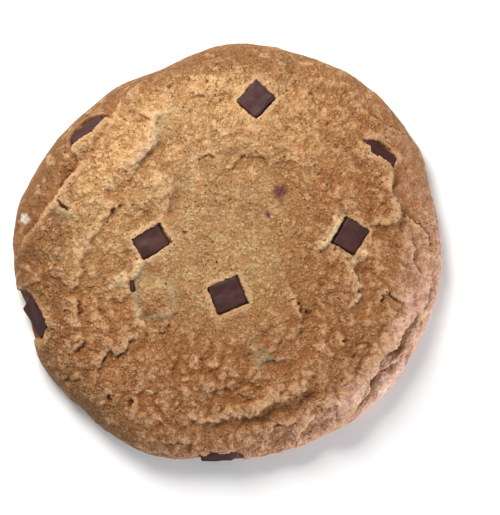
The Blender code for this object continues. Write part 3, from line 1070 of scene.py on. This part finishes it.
# Holes where bubbles broke: x, y, width and depth, in millimetres.
PITS = (
    (-14.3, 41.3, 0.91, 0.6), (-9.5, 43.0, 0.77, 0.5), (-5.0, 42.5, 0.77, 0.5),
    (-28.2, 10.0, 1.19, 1.0), (-26.4, 11.3, 0.77, 0.8), (-10.5, 4.8, 0.84, 0.7),
    (-3.5, 2.5, 0.56, 0.5), (0.8, 13.0, 0.63, 0.5), (-7.3, 11.3, 0.56, 0.4),
    (21.0, 39.5, 0.91, 0.6), (23.3, 35.5, 0.77, 0.6), (25.0, 31.8, 0.84, 0.6),
    (25.3, 27.5, 0.7, 0.5), (27.3, 26.3, 0.91, 0.8), (21.8, 21.3, 0.63, 0.5),
    (22.8, 19.3, 0.56, 0.5), (16.3, 44.8, 0.7, 0.5), (-29.3, -36.4, 1.05, 1.0),
    (-23.8, -37.5, 1.19, 1.1), (-12.5, -38.8, 0.84, 0.6), (20.0, -15.2, 0.84, 0.8),
    (18.0, -12.8, 0.63, 0.6), (31.6, -25.8, 0.98, 0.7), (29.1, -22.1, 0.84, 0.6),
    (27.0, -34.5, 0.7, 0.5), (3.6, -35.8, 0.63, 0.5), (25.0, -3.0, 0.56, 0.4),
    (24.4, 2.7, 0.63, 0.5), (21.4, 0.5, 0.56, 0.4), (-25.3, -32.5, 0.7, 0.6),
    (-7.6, -37.2, 0.7, 0.5), (10.6, 26.4, 0.56, 0.4), (44.2, 9.2, 0.84, 0.7),
    (-36.0, -15.0, 0.7, 0.6), (-40.2, -14.8, 0.63, 0.5), (-39.6, -20.9, 0.63, 0.5),
)

# What the seat of each chunk that shows its whole top is like: clefts beside it and crust over
# it, at its right, left, far and near side, in millimetres.
SEATS = {
    "chunk_top": ((0.4, 0.6, 0.3, 0.7), (0.0, 0.0, 0.0, 0.0)),
    "chunk_left": ((0.9, 0.2, 0.0, 0.6), (0.0, 0.0, 0.9, 0.0)),
    "chunk_middle": ((0.6, 0.4, 0.2, 0.7), (0.0, 0.0, 0.0, 0.0)),
    "chunk_right": ((0.3, 0.8, 0.2, 0.6), (0.0, 0.0, 0.0, 0.0)),
    "bit_slit": ((0.1, 0.1, 0.1, 0.1), (0.0, 0.0, 0.0, 0.0)),
}

# What shows of the chunks that the crust half covers: corners seen from above, in millimetres,
# and the sides between them that are the chunk's own edges.
MOUTHS = {
    "chunk_upper_right": dict(
        corners=((33.7, 27.8), (37.7, 27.7), (40.4, 25.8), (41.9, 23.4), (41.4, 20.8),
                 (39.4, 22.9), (37.4, 23.7), (35.7, 24.9), (35.4, 26.4)),
        lip=0.35, crisp=(0, 1, 2, 3), torn=0.7,
    ),
    "chunk_upper_left": dict(
        corners=((-39.7, 25.4), (-38.6, 28.8), (-37.0, 31.7), (-35.1, 33.1), (-29.4, 34.2),
                 (-32.3, 30.6), (-33.2, 29.5), (-35.6, 28.6), (-37.4, 27.0)),
        lip=0.4, crisp=(0, 1, 2, 3), torn=0.5,
    ),
    "chunk_left_edge": dict(
        corners=((-50.2, -9.6), (-49.3, -10.7), (-44.9, -18.4), (-46.3, -22.2), (-53.0, -22.2),
                 (-56.0, -9.6)),
        lip=0.0, crisp=(0, 1, 2, 3), torn=0.15, drop=1.2, cover=-0.3,
    ),
    "chunk_lower_edge": dict(
        corners=((-7.3, -51.0), (-3.0, -50.5), (0.0, -50.1), (1.2, -49.7), (3.0, -50.2),
                 (4.0, -51.1), (5.0, -56.0), (-8.0, -56.0)),
        lip=0.1, crisp=(4, 5, 6, 7), torn=0.2, drop=1.2, cover=-0.3, ragged=0.15,
    ),
    "bit_left": dict(
        corners=((-42.3, 13.2), (-41.6, 13.0), (-41.0, 11.9), (-39.5, 11.2), (-39.0, 10.0),
                 (-39.6, 10.1), (-41.2, 11.0)),
        lip=0.25, torn=0.2, ragged=0.2, drop=1.0,
    ),
}

# Chunks with one end broken off at a slant: how far along from the middle, and the slant.
CHIPS = {"chunk_lower_edge": (2.5, 42.0), "chunk_middle": (3.5, 34.0)}


# Bearings in degrees: of the roughest crust, of the smooth rim, of the palest side, away from
# which the crust darkens partly as painted shade, of the brownest side, of the pinkest side, whose
# pink is partly painted sheen, and of the side of the sunken middle darkened partly by painted
# shade.
ROUGHEST, SMOOTHEST = 290.0, 135.0
PALEST, BROWNEST, PINKEST = 122.0, 155.0, -32.0
DUSKIEST = -12.0


def towards(bearing, degrees):
    """1 at a bearing and 0 opposite to it."""
    return 0.5 + 0.5 * np.cos(bearing - math.radians(degrees))


def knead(dough):
    """The soft lumps of the dough: broad ones all over, and rougher ones away from the middle.
    Returns how smooth the crust is at each vertex, which it is along the rim that met no other."""
    points = points_of(dough) / MM
    normals = normals_of(dough)
    upper = smooth_step(normals[:, 2], -0.3, 0.3)
    radius = np.hypot(points[:, 0], points[:, 1])
    bearing = np.arctan2(points[:, 1], points[:, 0])
    lower = towards(bearing, ROUGHEST)
    facing = smooth_step(np.cos(bearing - math.radians(SMOOTHEST)), 0.2, 0.9)
    calm = smooth_step(radius, 45.0, 49.0) * facing
    damp = towards(bearing, PINKEST)
    calm = np.maximum(calm, smooth_step(radius, 49.0, 51.5) * (0.7 - 0.6 * damp))
    calm = np.maximum(calm, 0.6 * smooth_step(radius, 44.5, 47.5) * smooth_step(damp, 0.86, 0.98))
    coarse = smooth_step(radius, 14.0, 32.0) * (0.35 + 0.65 * lower) * (1.0 - calm)
    weigh(dough, "upper", upper)
    inner_share = 0.5 + 0.5 * smooth_step(radius, 14.0, 30.0)
    weigh(dough, "lively", upper * (1.0 - 0.8 * calm) * inner_share)
    weigh(dough, "coarse", upper * coarse)
    weigh(dough, "outer", upper * smooth_step(radius, 12.0, 30.0) * (1.0 - 0.5 * calm))
    swell(dough, cloud("dough_heave", 17.0, 1), 1.4, "upper")
    swell(dough, cloud("dough_lump", 7.0, 2), 1.5, "outer")
    swell(dough, cloud("dough_knot", 3.6, 2), 0.5, "coarse")
    swell(dough, bubbles("dough_blister", 3.2), -0.5, "coarse")
    wrinkle = bpy.data.textures.new("dough_wrinkle", "MUSGRAVE")
    wrinkle.musgrave_type = "RIDGED_MULTIFRACTAL"
    wrinkle.noise_scale = 4.4 * MM
    wrinkle.octaves = 2.5
    wrinkle.noise_intensity = 0.5
    swell(dough, wrinkle, 0.2, "coarse")
    rough = upper * smooth_step(radius, 15.0, 28.0) * (0.3 + 0.7 * lower) * (1.0 - calm)
    return calm, rough * (1.0 - 0.5 * smooth_step(radius, 44.0, 49.0))


def smooth_of(values, edges, counts, rounds):
    """Averages values over neighbouring vertices, several times."""
    for _ in range(rounds):
        total = np.empty_like(values)
        for k in range(values.shape[1]):
            total[:, k] = np.bincount(edges[:, 0], values[edges[:, 1], k], len(values))
            total[:, k] += np.bincount(edges[:, 1], values[edges[:, 0], k], len(values))
        values = 0.5 * values + 0.5 * total / counts[:, None]
    return values


def ridges(dough):
    """How far each vertex stands out of its surroundings, from -1 in a cleft to 1 on a crest."""
    points = points_of(dough)
    normals = normals_of(dough)
    edges = np.empty(len(dough.data.edges) * 2, np.int32)
    dough.data.edges.foreach_get("vertices", edges)
    edges = edges.reshape(-1, 2)
    counts = np.maximum(np.bincount(edges.ravel(), minlength=len(points)), 1)
    soft = smooth_of(points, edges, counts, 14)
    softer = smooth_of(soft, edges, counts, 50)
    near = ((points - soft) * normals).sum(1) / (0.17 * MM)
    far = ((soft - softer) * normals).sum(1) / (0.4 * MM)
    return np.clip(0.6 * near + 0.5 * far, -1.0, 1.0)


def brown(crust):
    """Notes how the crust is coloured: redder to the right and below, partly by the oven and
    partly as painted shade of light that fades away from the upper left; browner at the rim; pink
    at the lower right rim, partly as painted sheen; darker in the sunken middle, partly as painted
    shade.
    """
    points = crust.points / MM
    radius = np.hypot(points[:, 0], points[:, 1])
    bearing = np.arctan2(points[:, 1], points[:, 0])
    # Darker away from the palest side: partly browning, partly painted shade of the light fading
    # away from the upper left.
    away_from_palest = 1.0 - smooth_step(towards(bearing, PALEST), 0.35, 0.95)
    cool = towards(bearing, BROWNEST)
    toast_and_shade = 0.93 * away_from_palest * smooth_step(radius, 8.0, 30.0)
    toast_and_shade = toast_and_shade + 0.3 * smooth_step(radius, 42.0, 50.0)
    under = smooth_step(-crust.normals[:, 2], 0.2, 0.7)
    crust.notes["toast_and_shade"] = np.clip(toast_and_shade + 0.2 * under, 0.0, 1.2)
    leftward = bell((bearing % (2 * math.pi)) - math.pi, 0.5)
    ledge = smooth_step(radius + 4.0 * leftward, 41.0, 47.0)
    ledge = ledge + 0.5 * smooth_step(8.0 - points[:, 2], 0.0, 4.0)
    band = smooth_step(depth_inside(points[:, :2], BAND), -0.6, 1.6)
    ledge = np.maximum(ledge, 0.85 * band)
    crust.notes["rim"] = np.clip(ledge, 0.0, 1.0) * (0.25 + 0.75 * smooth_step(cool, 0.3, 0.8))
    # Olive darkening of the middle and the inner left: partly the dough's own tone, partly painted
    # shade of the sunken middle.
    pale = 1.0 - smooth_step(np.hypot(points[:, 0] + 5.0, points[:, 1]), 14.0, 31.0)
    crust.notes["pale"] = np.maximum(pale, 0.9 * leftward * smooth_step(radius, 12.0, 24.0))
    # A darker crescent at the right of the sunken middle: partly the dough's own tone, partly
    # painted shade.
    valley = bell(np.hypot(points[:, 0] - 1.0, points[:, 1] - 1.0) - 19.0, 7.0)
    crust.notes["dusk"] = valley * smooth_step(
        np.cos(bearing - math.radians(DUSKIEST)), -0.25, 0.65
    )
    # The pink of the lower right rim, partly its own colour and partly painted sheen.
    away = np.abs((bearing - math.radians(PINKEST) + math.pi) % (2 * math.pi) - math.pi)
    crust.notes["pink_and_sheen"] = smooth_step(radius, 41.0, 48.0) * bell(away, 0.7)
    crust.notes["rim"] *= 1.0 - crust.notes["pink_and_sheen"]


def make_dough(blocks):
    """The whole dough, from the bare solid to its finished crust."""
    dough = bare_dough()
    calm, rough = knead(dough)
    crust = Crust(dough)
    crust.notes["calm"] = calm
    crinkle(crust, 9.0, 0.3, 0.5, rough, 1)
    crinkle(crust, 5.0, 0.34, 0.42, rough, 2)
    crinkle(crust, 2.7, 0.22, 0.3, rough, 3)

    mound(crust, -17.6, -11.8, 9.6, 8.8, 5.0, 0.7, edge=0.28, green=0.75)
    mound(crust, 9.0, -20.0, 12.0, 11.0, 35.0, 0.6)
    mound(crust, -36.5, 13.0, 10.0, 9.0, 30.0, 0.5)
    mound(crust, -20.5, 15.0, 9.0, 7.0, 40.0, 0.4)
    for i, row in enumerate(FOLDS):
        fold(crust, seed=i + 1, **row)
    crust.put_back()
    for i, row in enumerate(CLEFTS):
        undercut(crust, seed=i + 61, **row)
    for i, (x, y, width, depth) in enumerate(PITS):
        pit(crust, x, y, width, depth, seed=1.7 * i)
    for node, (gaps, covers) in SEATS.items():
        seat(crust, blocks[node], gaps, covers)
    for node, row in MOUTHS.items():
        mouth(crust, blocks[node], **row)
    crust.put_back()
    for row in STAINS:
        stain(crust, *row)

    swell(dough, cloud("crumb_coarse", 1.9, 2), 0.4, "coarse")
    swell(dough, bubbles("crumb_grains", 1.7), -0.26, "lively")
    swell(dough, cloud("crumb_fine", 0.9, 2), 0.24, "lively")
    crust.points = points_of(dough)
    crust.points[:, 2] = np.maximum(crust.points[:, 2], 0.0)
    crust.put_back()
    brown(crust)
    # The ridge note lights crests as painted highlight and darkens clefts as painted shade.
    crust.notes["ridge"] = ridges(dough)
    for name, values in crust.notes.items():
        store(dough, name, values)
    dough.vertex_groups.clear()
    take(dough)
    bpy.ops.object.shade_smooth()
    dough.data.materials.append(crust_material())
    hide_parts("cookie")
    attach(dough, "root")
    return dough


# ---------------------------------------------------------------- crumbs


def make_crumbs(dough):
    """A few loose crumbs, mostly by the torn edges, as one piece."""
    tree = BVHTree.FromObject(dough, bpy.context.evaluated_depsgraph_get())
    draw = np.random.default_rng(11)
    spots = [(34.4, -1.0, 0.45), (33.2, -2.2, 0.35), (-27.9, -26.6, 0.4)]
    for x, y, spread in ((-21, 22, 5), (30, -8, 4), (4, -39, 8), (-26, -23, 6), (38, 10, 5)):
        for _ in range(5):
            dx, dy = draw.normal(0, spread * 0.5, 2)
            spots.append((x + dx, y + dy, 0.2 + 0.2 * draw.random() ** 2))
    crumbs = []
    for x, y, size in spots:
        hit, normal, _, _ = tree.ray_cast(Vector((x * MM, y * MM, 0.05)), Vector((0, 0, -1)))
        if hit is None:
            continue
        bpy.ops.object.select_all(action="DESELECT")
        bpy.ops.mesh.primitive_ico_sphere_add(
            subdivisions=2, radius=size * MM, location=hit + normal * size * 0.45 * MM,
            rotation=tuple(draw.uniform(0, 6, 3)), scale=(1.0, 0.8, 0.65),
        )
        crumb = bpy.context.object
        for vert in crumb.data.vertices:
            vert.co *= 1.0 + 0.35 * noise.noise(vert.co * (1.6 / (size * MM)) + hit * 900)
        crumbs.append(crumb)
    bpy.ops.object.select_all(action="DESELECT")
    for crumb in crumbs:
        crumb.select_set(True)
    bpy.context.view_layer.objects.active = crumbs[0]
    bpy.ops.object.join()
    piece = bpy.context.object
    piece.name = "crumbs"
    bpy.ops.object.transform_apply(location=True, rotation=True, scale=True)
    bpy.ops.object.shade_smooth()
    piece.data.materials.append(crumb_material())
    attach(piece, "root")
    return piece


# ---------------------------------------------------------------- table, light and camera


def make_stage():
    bpy.ops.object.select_all(action="DESELECT")
    bpy.ops.mesh.primitive_plane_add(size=6.0, location=(0, 0, 0))
    table = bpy.context.object
    table.name = "table"
    material = bpy.data.materials.new("pale_table")
    material.use_nodes = True
    shader = material.node_tree.nodes["Principled BSDF"]
    shader.inputs["Base Color"].default_value = (0.92, 0.92, 0.915, 1.0)
    shader.inputs["Roughness"].default_value = 0.7
    shader.inputs["Specular IOR Level"].default_value = 0.2
    table.data.materials.append(material)


def add_lamp(name, place, size, power, colour):
    """A square soft box that faces the cookie."""
    data = bpy.data.lights.new(name, "AREA")
    data.shape = "SQUARE"
    data.size = size
    data.energy = power
    data.color = colour
    lamp = bpy.data.objects.new(name, data)
    SCENE.collection.objects.link(lamp)
    lamp.location = place
    lamp.rotation_euler = (-Vector(place)).to_track_quat("-Z", "Y").to_euler()


def make_light():
    world = bpy.data.worlds.new("room")
    world.use_nodes = True
    background = world.node_tree.nodes["Background"]
    background.inputs["Color"].default_value = (0.95, 0.97, 1.0, 1.0)
    background.inputs["Strength"].default_value = 0.39
    SCENE.world = world
    add_lamp("window", (-0.10, 0.19, 0.24), 0.16, 1.48, (1.0, 0.96, 0.9))
    add_lamp("bounce", (0.42, -0.32, 0.07), 0.2, 3.6, (0.84, 0.9, 1.0))


def make_camera():
    data = bpy.data.cameras.new("camera")
    data.sensor_width = 36.0
    camera = bpy.data.objects.new("camera", data)
    SCENE.collection.objects.link(camera)
    distance = 0.6
    view_height = 128.75 * MM
    camera.location = (5.75 * MM, -1.4 * MM, distance)
    data.lens = 36.0 * (distance - 8 * MM) / view_height
    data.clip_start = 0.01
    SCENE.camera = camera
    SCENE.view_settings.view_transform = "Standard"


# ---------------------------------------------------------------- everything together

NAMES = {
    "chunk_top": "chocolate_top",
    "chunk_left": "chocolate_left",
    "chunk_middle": "chocolate_middle",
    "chunk_right": "chocolate_right",
    "chunk_upper_right": "chocolate_upper_right",
    "chunk_upper_left": "chocolate_upper_left",
    "chunk_left_edge": "chocolate_left_edge",
    "chunk_lower_edge": "chocolate_lower_edge",
    "bit_left": "chocolate_bit_left",
    "bit_slit": "chocolate_bit_slit",
}

blocks = {node: Block(node) for node in NAMES}
dough = make_dough(blocks)
for seed, (node, name) in enumerate(NAMES.items()):
    chocolate_piece(node, name, blocks[node], seed)
make_crumbs(dough)
make_stage()
make_light()
make_camera()
